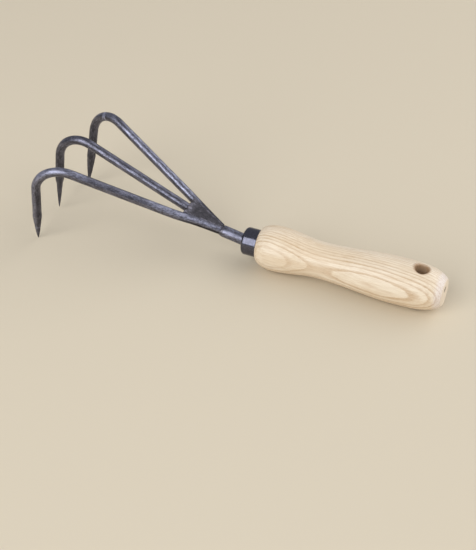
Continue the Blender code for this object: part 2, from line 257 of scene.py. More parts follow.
def split(place):  # a place as its three values
    return [addNode(place.tree, "ShaderNodeSeparateXYZ", {"Vector": place}, axis) for axis in "XYZ"]


def joined(x, y):  # two values as a point in a plane
    return addNode(x.tree, "ShaderNodeCombineXYZ", {"X": x, "Y": y}, "Vector")


def newMaterial(name, constants):  # a plain material with these fixed values
    material = bpy.data.materials.new(name)
    material.use_nodes = True
    for socket, value in constants.items():
        material.node_tree.nodes["Principled BSDF"].inputs[socket].default_value = value
    return material


def startMaterial(name, look, findPlace, constants):
    # the noises of a look, and its base colour under layers that each show as far as a smooth step
    # of their noise says
    material = newMaterial(name, constants)
    place = findPlace(material.node_tree)
    noise = {kind: cloud(place, *values) for kind, values in look["noises"].items()}
    colour = look["base"]
    for kind, step, paint in look["layers"]:
        colour = mixed(noise[kind].between(*step), colour, look[paint])
    return material, place, noise, colour


def finishMaterial(material, look, colour, rough, relief):
    # a relief of 1 stands out by the look's depth, in metres, and is shaded with its strength
    tree = material.node_tree
    depth, strength = look["relief"]
    inputs = {"Height": relief, "Distance": depth, "Strength": strength}
    normal = addNode(tree, "ShaderNodeBump", inputs, "Normal")
    for socket, value in {"Base Color": colour, "Roughness": rough, "Normal": normal}.items():
        tree.links.new(value.socket, tree.nodes["Principled BSDF"].inputs[socket])
    return material


# Handle
handle = {
    "shoulderRadius": 0.0113, "bulbRadius": 0.017, "waistRadius": 0.0136, "swellRadius": 0.0172,
    "buttFaceRadius": 0.0095, "frontLength": 0.0142, "bulbToWaist": 0.0345, "waistToSwell": 0.0575,
    "swellToButt": 0.0353, "buttRoundness": 3.0, "buttRim": 0.0013, "rimShare": 0.35,
    "tenonRadius": 0.0086, "tenonFront": 0.0019, "socketRadius": 0.0051, "socketEndRadius": 0.0033,
    "socketLength": 0.0735, "shoulderStep": 0.0005,
    "holeFromButt": 0.0184, "holeRadius": 0.0048, "holeRimRadius": 0.0065, "holeRimDepth": 0.0017,
    "markHeight": 0.003, "markSide": -0.0004, "markRadius": 0.002, "markDepth": 0.001,
    "columns": 160, "rows": {"front": 25, "body": 119, "hole": 26, "dome": 14, "rim": 8, "face": 25},
    "patchReach": 0.0086, "patchColumns": 14, "patchRows": {"skin": 12, "rim": 9, "bore": 13},
}
shoulderAlong = ferruleLength + gap
bulbAlong = shoulderAlong + handle["frontLength"]
waistAlong = bulbAlong + handle["bulbToWaist"]
swellAlong = waistAlong + handle["waistToSwell"]
buttAlong = swellAlong + handle["swellToButt"]
holeAlong = buttAlong - handle["holeFromButt"]


def domeShare(share):
    # superellipse of the rounded end: the root of 1 less the share's power, which works both ways,
    # from radius to length and from length to radius
    return np.clip(1.0 - share ** handle["buttRoundness"], 0.0, 1.0) ** (1.0 / handle["buttRoundness"])


domeReach = handle["swellToButt"] / domeShare(handle["buttFaceRadius"] / handle["swellRadius"])


def handleRadius(along):
    # quarter ellipse at the front, two half cosine waves through the waist, a superellipse dome
    shoulder, bulb = handle["shoulderRadius"], handle["bulbRadius"]
    waist, swell = handle["waistRadius"], handle["swellRadius"]
    front = np.clip((bulbAlong - along) / handle["frontLength"], 0.0, 1.0)
    front = shoulder + (bulb - shoulder) * np.sqrt(1.0 - front ** 2)
    toWaist = eased(bulb, waist, (along - bulbAlong) / handle["bulbToWaist"])
    toSwell = eased(waist, swell, (along - waistAlong) / handle["waistToSwell"])
    dome = swell * domeShare(np.maximum(along - swellAlong, 0.0) / domeReach)
    starts = [along > swellAlong, along > waistAlong, along > bulbAlong]
    return np.select(starts, [dome, toSwell, toWaist], front)


def turnedGrid(along, radius, columns):
    # each (along, radius) station swept round the handle's axis
    angles = around(columns)
    grid = np.empty((len(along), columns, 3))
    grid[..., 0] = ferruleFront + along[:, None]
    grid[..., 1] = -radius[:, None] * np.sin(angles)
    grid[..., 2] = axisHeight + radius[:, None] * np.cos(angles)
    return grid


def holePatch(boundary, side):
    # fills the opening left in the skin round one mouth of the hang hole: a blend in plan from the
    # opening's edge to a circle, lying on the turned skin, then a quarter of an ellipse over the rim
    # and the straight bore down to the middle of the wood
    rim, bore, counts = handle["holeRimRadius"], handle["holeRadius"], handle["patchRows"]
    plan = boundary[:, :2] - np.array([ferruleFront + holeAlong, 0.0])
    angle = np.arctan2(plan[:, 1], plan[:, 0])
    circle = np.stack([np.cos(angle), np.sin(angle)], -1)

    def onSkin(flat, drop=0.0):  # height: the root of the radius squared less the side squared
        radius = handleRadius(holeAlong + flat[..., 0])
        return np.column_stack([flat, np.sqrt(radius ** 2 - flat[..., 1] ** 2) - drop])

    shares = np.linspace(0.0, 1.0, counts["skin"])
    rows = [onSkin(plan * (1.0 - share) + circle * rim * share) for share in shares]
    for turn in after(0.0, quarter, counts["rim"]):
        drop = handle["holeRimDepth"] * (1.0 - math.cos(turn))
        rows.append(onSkin(circle * (rim - (rim - bore) * math.sin(turn)), drop))
    mouth = rows[-1][:, 2]
    rows += [np.column_stack([circle * bore, mouth * share]) for share in after(1.0, 0.0, counts["bore"])]
    patch = np.array(rows)
    patch[..., 0] += ferruleFront + holeAlong
    patch[..., 2] = axisHeight + side * patch[..., 2]
    return patch


def buildHandle(material):
    # the tang's socket, the tenon and the shoulder, and a skin turned from the profile: front, waist
    # and swell, the dome, an eased rim that is tangent to it, and the flat face
    columns, half, rim = handle["columns"], handle["patchColumns"], handle["buttRim"]
    faceEdge, rows = handle["buttFaceRadius"], handle["rows"]
    skinStart = [shoulderAlong, handle["shoulderRadius"] - handle["shoulderStep"]]
    inner = np.array([
        [handle["socketLength"], 0.0], [handle["socketLength"], handle["socketEndRadius"]],
        [handle["tenonFront"], handle["socketRadius"]], [handle["tenonFront"], handle["tenonRadius"]],
        [shoulderAlong, handle["tenonRadius"]], skinStart])
    lowAlong, highAlong = holeAlong - handle["patchReach"], holeAlong + handle["patchReach"]
    front = bulbAlong - handle["frontLength"] * np.cos(after(0.0, quarter, rows["front"]))
    body = after(bulbAlong, lowAlong, rows["body"])
    turned = np.concatenate([front, body, after(lowAlong, highAlong, rows["hole"])])
    lastRadius = handleRadius(highAlong)
    domeEnd = faceEdge + handle["rimShare"] * rim
    domeRadius = lastRadius + (domeEnd - lastRadius) * np.sin(after(0.0, quarter, rows["dome"]))
    domeAlong = swellAlong + domeReach * domeShare(domeRadius / handle["swellRadius"])
    ease = after(0.0, 1.0, rows["rim"])
    rimRadius = domeRadius[-1] + (faceEdge - rim - domeRadius[-1]) * ease
    rimAlong = domeAlong[-1] + (buttAlong - domeAlong[-1]) * (1.0 - (1.0 - ease) ** 2)
    faceRadius = after(faceEdge - rim, 0.0, rows["face"])
    along, radius = np.concatenate([
        [skinStart], stations(turned, handleRadius(turned)), stations(domeAlong, domeRadius),
        stations(rimAlong, rimRadius), stations(buttAlong, faceRadius)]).T
    skin = turnedGrid(along, radius, columns)
    # the turner's centre mark, a small dent in the flat face
    off = np.hypot(skin[..., 1] - handle["markSide"], skin[..., 2] - axisHeight - handle["markHeight"])
    onFace = skin[..., 0] > ferruleFront + buttAlong - tiny
    skin[..., 0] -= np.where(onFace, handle["markDepth"] * np.exp(-(off / handle["markRadius"]) ** 2), 0.0)
    # the rows and columns round each mouth of the hole give way to a patch
    i0 = rows["front"] + rows["body"]
    i1 = i0 + rows["hole"]
    grids = [(turnedGrid(*inner.T, columns), True), (skin[:i0 + 1], True), (skin[i1:], True)]
    band = np.roll(skin[i0:i1 + 1], half, axis=1)  # starts at the edge of the upper mouth
    lower = columns // 2
    grids.append((band[:, 2 * half:lower + 1], False))
    grids.append((np.concatenate([band[:, lower + 2 * half:], band[:, :1]], axis=1), False))
    for start, side in ((0, 1.0), (lower, -1.0)):
        window = band[:, start:start + 2 * half + 1]
        edge = np.concatenate([window[:-1, 0], window[-1, :-1], window[:0:-1, -1], window[0, :0:-1]])
        grids.append((holePatch(edge, side), True))
    makePiece("handle_ash", grids, material, "handle", sharpAngle=50.0)


grain = {
    "normal": (-0.0268, -0.9868, 0.1622), "bowCentre": 80.0, "bowReach": 60.0,
    "bow": (-3.13, -0.38, 2.64), "twist": (0.051, -0.144, -0.26), "twistReach": 15.0,
    "wander": 0.2, "ripple": 0.28, "deepest": 20.0,
    "yearEnds": (-17.0, -15.2, -13.1, -11.4, -9.3, -7.6, -5.5, -3.7, -1.8, 0.1, 1.9, 3.9, 5.7,
                 7.7, 9.3, 11.35, 12.95, 14.78, 16.9),
    # each noise: scale along the axes, detail, roughness and shift
    "noises": {
        "wander": ((0.02, 0.09, 0.09), 2.0, 0.45), "ripple": ((0.12, 0.5, 0.5), 3.0, 0.55),
        "streak": ((0.1, 2.2, 2.2), 3.0, 0.6), "fibre": ((0.07, 1.1, 1.1), 4.0, 0.6, (5.0, 2.0, 9.0)),
        "broad": ((0.012, 0.09, 0.09), 2.0, 0.5, (3.0, 7.0, 1.0)), "pore": ((0.3, 5.0, 5.0), 2.0, 0.6),
        "speckle": ((2.2, 0.8, 0.8), 3.0, 0.65),
    },
    # each smooth step: from, to, result before and result after
    "layers": (("broad", (0.38, 0.72, 0.0, 0.7), "warm"), ("fibre", (0.36, 0.7, 0.0, 0.32), "line"),
               ("streak", (0.5, 0.72, 0.0, 0.22), "line")),
    "lineRise": (0.4, 0.82), "lineEnd": (0.88, 0.98, 1.0, 0.0), "lineStreaks": (0.22, 0.62, 0.55, 1.0),
    "fromWaist": (2.0, 20.0, 0.62, 1.0), "fromMiddle": (2.0, 10.0, 0.62, 1.0), "pores": (0.56, 0.68),
    "endSpeckle": (0.42, 0.7, 0.0, 0.85), "endBand": (-7.0, -2.8, 0.0, 0.66), "endSway": 2.5,
    "faceBand": (-0.9, -0.1, 0.0, 0.75), "faceSway": 1.0, "boreShadeByHeight": (9.5, 15.0, 0.66, 0.76),
    "boreEdge": 0.4, "boreLength": 0.92, "markBand": (-3.0, -2.5), "markStart": 1.2, "markEdge": 0.9,
    "markStrength": 0.95, "waist": 66.0, "yearSpread": 0.5, "lineStrength": 0.7, "poreStrength": 0.5,
    "endLine": 0.35, "roughness": 0.34, "lineRoughness": 0.1, "fibreRoughness": 0.1, "lineRelief": -0.35,
    "relief": (0.00006, 0.6),
    "base": srgb(241, 228, 207), "warm": srgb(228, 208, 179), "line": srgb(192, 158, 116),
    # the pale end grain colour is partly a painted sheen
    "pore": srgb(140, 104, 74), "endPaleSheen": srgb(240, 232, 230), "endDark": srgb(204, 184, 172),
    # the bore and mark colours are painted shade, the bore's partly also darker drilled wood
    "face": srgb(240, 223, 199), "bore": srgb(146, 106, 62), "mark": srgb(74, 54, 34),
}


def ashMaterial():
    # growth layers lie almost square to the near side of the grip and bow along it, so they show as
    # straight lines on top and as long ovals where the grip swells; each layer starts pale, darkens
    # slowly into a band of open pores and ends at a sharp line
    material, place, noise, colour = startMaterial("pale_ash", grain, objectPlace, {"IOR": 1.5})
    x, y, z = split(place)
    # depth in the wood: the place along the layers' normal, a curve along the grip and a twist
    reach = (x - grain["bowCentre"]) / grain["bowReach"]
    bow = reach.curved(grain["bow"]) * (reach * reach)
    twist = reach.curved(grain["twist"]) * reach * (z / grain["twistReach"])
    depth = vectorCalc("DOT_PRODUCT", place, grain["normal"]) + (bow + twist)
    depth = depth.swayed(noise["wander"], grain["wander"]).swayed(noise["ripple"], grain["ripple"])
    layers = depth.counted(grain["yearEnds"], grain["deepest"])
    share = layers.calc("FRACT")
    year = addNode(place.tree, "ShaderNodeTexWhiteNoise", {"W": layers.calc("FLOOR")}, "Value",
                   noise_dimensions="1D")
    line = share.between(*grain["lineRise"]) * share.between(*grain["lineEnd"])
    line *= year * grain["yearSpread"] + (1.0 - grain["yearSpread"])
    line *= noise["streak"].between(*grain["lineStreaks"])
    line *= abs(x - grain["waist"]).between(*grain["fromWaist"])
    line *= depth.between(*grain["fromMiddle"])
    pore = noise["pore"].between(*grain["pores"]) * line
    colour = mixed(line * grain["lineStrength"], colour, grain["line"])
    colour = mixed(pore * grain["poreStrength"], colour, grain["pore"])
    # end grain, speckled, from the dome's last turn to the flat face; its pale cool tone is partly a
    # painted sheen
    fromButt = x - mm * (ferruleFront + buttAlong)
    endGrainAndSheen = mixed(noise["speckle"].between(*grain["endSpeckle"]), grain["endPaleSheen"], grain["endDark"])
    endGrainAndSheen = mixed(line * grain["endLine"], endGrainAndSheen, grain["endDark"])
    ends = fromButt.swayed(noise["streak"], grain["endSway"]).between(*grain["endBand"])
    colour = mixed(ends, colour, endGrainAndSheen)
    onFace = fromButt.swayed(noise["streak"], grain["faceSway"]).between(*grain["faceBand"])
    colour = mixed(onFace, colour, grain["face"])
    # painted shade: the drilled hole and the turner's mark are darker inside, the hole also for its darker
    # drilled wood
    alongHole = (x - mm * (ferruleFront + holeAlong)) * grain["boreLength"]
    fromHole = vectorCalc("DISTANCE", joined(alongHole, y), (0.0, 0.0, 0.0))
    rim = mm * handle["holeRimRadius"] + grain["boreEdge"]
    paintedBoreShade = fromHole.between(mm * handle["holeRadius"], rim, 1.0, 0.0)
    paintedBoreShade *= abs(z - mm * axisHeight).between(*grain["boreShadeByHeight"])
    colour = mixed(paintedBoreShade, colour, grain["bore"])
    mark = (mm * handle["markSide"], mm * (axisHeight + handle["markHeight"]), 0.0)
    markEnd = mm * handle["markRadius"] + grain["markEdge"]
    fromMark = vectorCalc("DISTANCE", joined(y, z), mark)
    paintedMarkShade = fromMark.between(grain["markStart"], markEnd, grain["markStrength"], 0.0)
    colour = mixed(paintedMarkShade * fromButt.between(*grain["markBand"]), colour, grain["mark"])
    rough = line * grain["lineRoughness"] + grain["roughness"] + noise["fibre"] * grain["fibreRoughness"]
    relief = noise["streak"] + line * grain["lineRelief"] - pore
    return finishMaterial(material, grain, colour, rough, relief)


# Ferrule
ferrule = {
    "wall": 0.0016, "frontEdge": 0.002, "backEdge": 0.0004, "backRound": 0.3, "boreRadius": 0.0049,
    "boreEdge": 0.0004, "dent": 0.00001, "dentLength": 0.007, "seed": 11,
    "columns": 128, "rows": {"front": 6, "edge": 12, "outside": 23},
    "base": srgb(90, 91, 103), "worn": srgb(108, 109, 125), "layers": (("mottle", (0.45, 0.72), "worn"),),
    "noises": {"mottle": (0.9, 4.0, 0.6), "fine": ((2.2, 2.2, 2.2), 3.0, 0.6)},
    "roughness": 0.09, "mottleRoughness": 0.14, "fineRelief": 0.35, "relief": (0.00002, 0.4),
}


def buildFerrule(material):
    # a closed profile of (along, radius) turned about the axis: bore, front face, rounded edge,
    # outside, small back edge and the cup's inside; shallow dents in the outside
    wall, edge, back = ferrule["wall"], ferrule["frontEdge"], ferrule["backEdge"]
    cut = back * ferrule["backRound"]
    bore, soft, rows = ferrule["boreRadius"], ferrule["boreEdge"], ferrule["rows"]
    inner = ferruleRadius - wall
    turn = np.linspace(0.0, quarter, rows["edge"])
    profile = np.concatenate([
        [[wall, bore], [soft, bore], [soft / 4, bore + soft / 4], [0.0, bore + soft]],
        stations(0.0, np.linspace(bore + 2 * soft, ferruleRadius - edge - gap, rows["front"])),
        stations(edge * (1.0 - np.cos(turn)), ferruleRadius - edge * (1.0 - np.sin(turn))),
        stations(after(edge, ferruleLength - back, rows["outside"]), ferruleRadius),
        [[ferruleLength - cut, ferruleRadius - cut], [ferruleLength, ferruleRadius - back],
         [ferruleLength, inner + soft / 2], [ferruleLength - soft / 2, inner],
         [wall, inner], [wall, bore]]])
    along, radius = profile.T
    grid = turnedGrid(along, radius, ferrule["columns"])
    outward = (grid - np.array([0.0, 0.0, axisHeight])) * np.array([0.0, 1.0, 1.0])
    dent = ferrule["dent"] * (1.0 + ripple(grid, ferrule["dentLength"], ferrule["seed"]))[..., None]
    dent[(radius < ferruleRadius - edge) | (along > ferruleLength - back)] = 0.0
    grid -= unitLong(outward) * dent
    makePiece("ferrule_cup", [(grid, True)], material, "ferrule")


def ferruleMaterial():
    # blackened steel, paler where a broad noise says that it is worn
    material, _, noise, colour = startMaterial("blackened_ferrule", ferrule, objectPlace, metal)
    rough = noise["mottle"] * ferrule["mottleRoughness"] + ferrule["roughness"]
    relief = noise["mottle"] + noise["fine"] * ferrule["fineRelief"]
    return finishMaterial(material, ferrule, colour, rough, relief)


# Head and tines, in the fan's frame: X along the middle stem, Y to the tool's left, Z square to both
head = {
    "neckLength": 0.0168, "neckSlope": math.radians(10.6), "neckRadius": 0.0045, "neckBend": 0.012,
    "tangShoulder": 0.009, "tangLength": 0.062, "tangRootSide": 0.0074, "tangEndSide": 0.0042,
    "neckEdge": 0.0002, "neckDentLength": 0.008, "neckSeed": 21, "tangSquareness": 6.0,
    "neckRows": {"bar": 40, "bend": 9, "shoulder": 13},
    "stemSlope": math.radians(23.7), "fanAngle": math.radians(18.3), "rootSetback": 0.0025,
}
kink = head["stemSlope"] - head["neckSlope"]
fanAngle = head["fanAngle"]
headPoint = np.array([ferruleFront - head["neckLength"] * math.cos(head["neckSlope"]), 0.0,
                      axisHeight + head["neckLength"] * math.sin(head["neckSlope"])])
level, climb = math.cos(head["stemSlope"]), math.sin(head["stemSlope"])
fanWays = np.array([[-level, 0.0, climb], [0.0, -1.0, 0.0], [climb, 0.0, level]])  # forward, left, up


def fromFan(points):  # the head's point plus each of the fan's directions times its own value
    return headPoint + points @ fanWays


def turnedInFan(points, angle):  # turned in the fan's plane: X to X cos less Y sin, Y to X sin plus Y cos
    c, s = math.cos(angle), math.sin(angle)
    return points @ np.array([[c, s, 0.0], [-s, c, 0.0], [0.0, 0.0, 1.0]])


tine = {
    "radius": 0.00348, "outerStem": 0.122, "middleStem": 0.1202, "bendRadius": 0.0202,
    "bendAngle": math.radians(107.0), "wedgeEnd": 0.0026, "wedgeReach": 0.001, "rootReach": 0.014,
    "mitreReach": 0.03, "bowStart": 0.02, "bowPeak": 0.044, "bowEnd": 0.118, "bowMost": 1.3,
    "pointSquareness": 3.6, "swellLength": 0.003, "swellAt": 0.4, "softStart": 0.004, "softLength": 0.006,
    "columns": 56, "rows": {"root": 13, "stem": 110, "bend": 69, "prong": 43, "point": 64},
    "tipCrowding": 1.35,  # how the rows crowd towards the tip
    # unevenness: depth on the stem and added near the point, where that starts and how it grows
    "unevenness": 0.00007, "stemShare": 0.5, "pointShare": 0.9, "pointStart": 0.04, "pointGrowth": 0.02,
    "dentLength": 0.007, "fineLength": 0.0028, "fineShare": 0.35, "deepestShare": 0.12,
    # point: length of the taper, half width in the plane of the bend and across it where the taper
    # starts, how full the taper is, the length of the forged shoulder above it and how far it swells,
    # as a share of the radius; bow: how far the stem bows to its outer side
    "tine_left": {"angle": 1.0, "taper": 0.022, "wide": 0.0033, "thick": 0.0026, "fullness": 0.62,
                  "shoulder": 0.004, "swell": 0.07, "bow": 0.00135, "seed": 3, "steel": "near_tine_steel"},
    "tine_middle": {"angle": 0.0, "taper": 0.0225, "wide": 0.0023, "thick": 0.0018, "fullness": 0.6,
                    "shoulder": 0.0075, "swell": 0.03, "bow": 0.0, "seed": 5, "steel": "middle_tine_steel"},
    "tine_right": {"angle": -1.0, "taper": 0.0235, "wide": 0.0031, "thick": 0.0025, "fullness": 0.7,
                   "shoulder": 0.0045, "swell": 0.04, "bow": 0.0004, "seed": 8, "steel": "far_tine_steel"},
}


def barLine(distance, stem):
    # straight stem, circular bend, straight prong: x, z and turn at each distance along the bar
    bend, radius = tine["bendAngle"], tine["bendRadius"]
    turn = np.clip((distance - stem) / radius, 0.0, bend)
    beyond = np.maximum(distance - stem - radius * bend, 0.0)
    x = np.minimum(distance, stem) + radius * np.sin(turn) + beyond * math.cos(bend)
    z = -radius * (1.0 - np.cos(turn)) - beyond * math.sin(bend)
    return x, z, turn


def prongLength():
    # the straight prong brings the outer points down to the bench: the height of its start, over how
    # far it comes down for each unit of its length
    stem = tine["outerStem"]
    x, z, _ = barLine(stem + tine["bendRadius"] * tine["bendAngle"] + np.array([0.0, 1.0]), stem)
    heights = fromFan(turnedInFan(stations(x, 0.0, z), fanAngle))[:, 2]
    return heights[0] / (heights[0] - heights[1])


def bowShare(along):
    # how far a stem bows to its outer side: a smooth rise to 1 at the peak, then a straight line to 0
    start, peak, end = tine["bowStart"], tine["bowPeak"], tine["bowEnd"]
    fall = np.clip((end - along) / (end - peak), 0.0, tine["bowMost"])
    return smooth((along - start) / (peak - start)) * fall


def pointShape(fromTip, shape):
    # squareness and half widths: a power of the distance from the tip along the taper, then a
    # shoulder, swollen by a bell curve, that eases back into the round bar
    radius = tine["radius"]
    fromTaper = fromTip - shape["taper"]
    taper = np.clip(fromTip / shape["taper"], 0.0, 1.0) ** shape["fullness"]
    back = smooth(fromTaper / shape["shoulder"])
    bell = np.exp(-((fromTaper - tine["swellAt"] * shape["shoulder"]) / tine["swellLength"]) ** 2)
    swell = shape["swell"] * radius * bell
    wide = taper * (shape["wide"] + (radius - shape["wide"]) * back) + swell
    thick = taper * (shape["thick"] + (radius - shape["thick"]) * back) + swell
    flat = smooth((fromTaper + tine["softStart"]) / (shape["shoulder"] + tine["softLength"]))
    return tine["pointSquareness"] + (2.0 - tine["pointSquareness"]) * flat, thick, wide


def forged(side, rise, dent):
    # a section's points moved in by the dent, or by the deepest share of their distance if that is less
    share = np.minimum(dent / np.maximum(np.hypot(side, rise), tiny), tine["deepestShare"])
    return side * (1.0 - share), rise * (1.0 - share)


def buildTine(name, material):
    # superellipse sections carried along the bar's line, set back at the root to the cut face, made
    # uneven, bowed, turned into the fan and clipped against the tines beside it
    shape, columns, rows = tine[name], tine["columns"], tine["rows"]
    angle = shape["angle"] * fanAngle
    stem = tine["outerStem"] if angle else tine["middleStem"]
    bendEnd = stem + tine["bendRadius"] * tine["bendAngle"]
    total = bendEnd + prongLength()
    clear = tine["radius"] + gap
    wedgeStart = (clear / math.cos(fanAngle) + tine["wedgeEnd"] / 2) / math.tan(fanAngle)
    rootEnd = tine["rootReach"] if angle else wedgeStart + tine["wedgeReach"]
    tapering = shape["taper"] * np.linspace(1.0, 0.0, rows["point"])[1:] ** tine["tipCrowding"]
    distance = np.concatenate([np.linspace(rootEnd, stem, rows["stem"]), after(stem, bendEnd, rows["bend"]),
                               after(bendEnd, total - shape["taper"], rows["prong"]), total - tapering])
    side, rise = sections(columns, *pointShape(total - distance, shape))
    # rows at the root run from the cut face to the first full section
    if angle:
        nx, ny, nz = math.cos(angle) * math.cos(kink), -math.sin(angle) * math.cos(kink), -math.sin(kink)
        start = (head["rootSetback"] + gap - side[:1] * ny - rise[:1] * nz) / nx
        middle = (head["rootSetback"] + gap) / nx
    else:
        start = np.full_like(side[:1], wedgeStart)
        middle = wedgeStart
    steps = np.linspace(0.0, 1.0, rows["root"] + 1)[:-1, None]
    along = np.concatenate([np.full_like(start, middle), start + (rootEnd - start) * steps,
                            np.repeat(distance[:, None], columns, axis=1)])
    side, rise = [np.concatenate([section[:1] * 0.0, np.repeat(section[:1], rows["root"], axis=0), section])
                  for section in (side, rise)]
    places = np.stack([along, side, rise], -1)
    # forged unevenness only takes metal away, and more of it near the point
    nearPoint = smooth((tine["pointStart"] - (total - along)) / tine["pointGrowth"])
    depth = tine["unevenness"] * (tine["stemShare"] + tine["pointShare"] * nearPoint)
    uneven = depth * dents(places, tine["dentLength"], shape["seed"])
    uneven += tine["fineShare"] * depth * dents(places, tine["fineLength"], shape["seed"] + 1)
    side, rise = forged(side, rise, uneven)
    x, z, turn = barLine(along, stem)
    bow = shape["angle"] * shape["bow"] * bowShare(along)
    local = np.stack([x + rise * np.sin(turn), side + bow, z + rise * np.cos(turn)], -1)
    fan = turnedInFan(local, angle)
    if angle:  # mitred to the other outer tine at the middle of the head
        outer = math.copysign(1.0, angle)
        mitred = outer * np.maximum(outer * fan[..., 1], gap / 2)
        fan[..., 1] = np.where(along[:, :1] < tine["mitreReach"], mitred, fan[..., 1])
    else:  # a wedge between the two outer tines
        room = np.maximum((fan[..., 0] * math.sin(fanAngle) - clear) / math.cos(fanAngle), 0.0)
        fan[..., 1] = np.clip(fan[..., 1], -room, room)
    makePiece(name + "_bar", [(fromFan(fan), True)], material, name, 55.0, places)


def buildNeck(material):
    # round bar sloping down to the axis, a gentle bend inside the ferrule, then a square tapering
    # tang; the end at the head is turned down for the weld ring
    length, slope, radius = head["neckLength"], head["neckSlope"], head["neckRadius"]
    bend, setback, edge = head["neckBend"], head["rootSetback"], head["neckEdge"]
    rows, square = head["neckRows"], head["tangSquareness"]
    groove = weld["ringWidth"] - setback  # where the ring ends and the full bar starts
    grooveRadius = radius - weld["ringDepth"]
    bendReach = bend * math.tan(slope / 2)
    distance = np.concatenate([[-setback, -setback, groove, groove],
                               np.linspace(groove + edge, length - bendReach, rows["bar"])])
    size = np.concatenate([[0.0, grooveRadius, grooveRadius, radius - edge], np.full(rows["bar"], radius)])
    turn = after(-slope, 0.0, rows["bend"])
    share = after(0.0, 1.0, rows["shoulder"])
    rootHalf, endHalf = head["tangRootSide"] / 2, head["tangEndSide"] / 2
    tangStart = ferruleFront + bendReach
    tangRoot = tangStart + head["tangShoulder"]
    x, z, heading, size, squareness = np.concatenate([
        stations(headPoint[0] + distance * math.cos(slope), headPoint[2] - distance * math.sin(slope),
                 -slope, size, 2.0),
        stations(tangStart + bend * np.sin(turn), axisHeight + bend * (1.0 - np.cos(turn)), turn,
                 radius, 2.0),
        stations(tangStart + head["tangShoulder"] * share, axisHeight, 0.0,
                 radius + (rootHalf - radius) * share, 2.0 + (square - 2.0) * share),
        stations(tangRoot + head["tangLength"] * np.array([0.5, 1.0, 1.0]), axisHeight, 0.0,
                 np.array([(rootHalf + endHalf) / 2, endHalf, 0.0]), square)]).T
    side, rise = sections(tine["columns"], squareness, size, size)
    along = np.repeat((x - headPoint[0])[:, None], tine["columns"], axis=1)
    places = np.stack([along, side, rise], -1)
    shown = (along > groove + gap) & (along < length)
    dent = tine["unevenness"] * tine["stemShare"] * dents(places, head["neckDentLength"], head["neckSeed"])
    side, rise = forged(side, rise, shown * dent)
    x, z, heading = x[:, None], z[:, None], heading[:, None]
    points = np.stack([x - rise * np.sin(heading), -side, z + rise * np.cos(heading)], -1)
    makePiece("neck_bar", [(points, True)], material, "neck_and_tang", places=places)


steel = {
    "base": srgb(88, 88, 98), "worn": srgb(123, 123, 139), "dark": srgb(58, 56, 61),
    # the pale colour is bare metal in the scratches and a painted highlight in the scuffs; the darkest is
    # painted shade
    "bareAndHighlight": srgb(171, 174, 197), "shadeBelowColour": srgb(30, 28, 30),
    "noises": {"patches": ((0.14, 0.4, 0.4), 4.0, 0.6), "streaks": ((0.2, 2.2, 2.2), 4.0, 0.65),
               "pits": ((1.2, 1.9, 1.9), 3.0, 0.7),
               "grit": ((0.7, 1.2, 1.2), 2.0, 0.6, (7.0, 3.0, 0.0))},
    "layers": (("patches", (0.4, 0.64), "worn"), ("streaks", (0.52, 0.74, 0.0, 0.6), "dark"),
               ("streaks", (0.46, 0.26, 0.0, 0.45), "bareAndHighlight"), ("pits", (0.58, 0.72, 0.0, 0.65), "dark"),
               ("grit", (0.52, 0.68, 0.0, 0.3), "bareAndHighlight"), ("grit", (0.48, 0.32, 0.0, 0.4), "dark")),
    "roughness": 0.38, "patchRoughness": -0.16, "streakRoughness": 0.1, "scratchRoughness": 0.25,
    "streakRelief": 0.6, "relief": (0.00006, 0.5),
    # marks: how long each takes to fade in and out along the bar and how far across it, its ragged
    # edge and how much that moves it
    "scuffAndHighlightEnds": (6.0, 8.0), "scuffAndHighlightFade": 2.4, "shadeBelowEnds": (14.0, 22.0), "shadeBelowFade": 1.8,
    "tintEnds": (5.0, 5.0), "tintFade": 1.2, "tintHeight": (0.2, 1.2), "tintSway": 3.0,
    "ragged": ((0.45, 1.3, 1.3), 4.0, 0.7), "raggedEdge": (0.4, 0.6),
    "broken": ((1.3, 1.3, 1.3), 3.0, 0.6), "brokenEdge": (0.38, 0.5), "scratchCore": 0.4,
    "sootFade": (-4.0, 2.0), "sootStrength": 0.75, "sootRoughness": 0.2,
    # where each bar is marked, in millimetres: scuffs, partly worn bare metal and partly a painted
    # highlight on the lit upper side (start, end, lowest height on its side, strength, added roughness),
    # scratches round it (distance, width, slant, strength), painted shade below a height, on the underside
    # or all round a prong (start, end, highest height, strength), tints on the side next to the plate
    # (start, end, farthest from the middle, strength) and soot over the welded root (end)
    "neck_and_tang": {"scuffsAndHighlights": [(-3.0, 30.0, -8.0, 0.42, 0.22)]},
    "tine_left": {"scuffsAndHighlights": [(1.0, 34.0, 0.0, 0.9, 0.12), (24.0, 64.0, -0.6, 0.62, 0.22),
                             (108.0, 156.0, 0.0, 0.66, 0.02), (126.0, 178.0, -1.0, 0.5, 0.2),
                             (168.0, 206.0, -1.4, 0.55, 0.04)],
                  "scratches": [(198.8, 0.8, -0.25, 0.9), (204.0, 0.6, 0.2, 0.6)],
                  "shadesBelow": [(-14.0, 42.0, 1.1, 0.9), (150.0, 240.0, 0.9, 0.45)],
                  "tints": [(-4.0, 34.0, 2.4, 0.7)]},
    "tine_middle": {"soot": [21.0], "shadesBelow": [(148.0, 240.0, 6.0, 0.38)]},
    "tine_right": {"soot": [30.0], "shadesBelow": [(146.0, 240.0, 6.0, 0.36)],
                   "scratches": [(135.4, 1.1, -0.35, 1.0), (137.6, 0.6, 0.25, 0.8)],
                   "scuffsAndHighlights": [(34.0, 118.0, 0.3, 0.7, 0.04), (122.0, 150.0, 0.6, 0.5, 0.1)]},
}


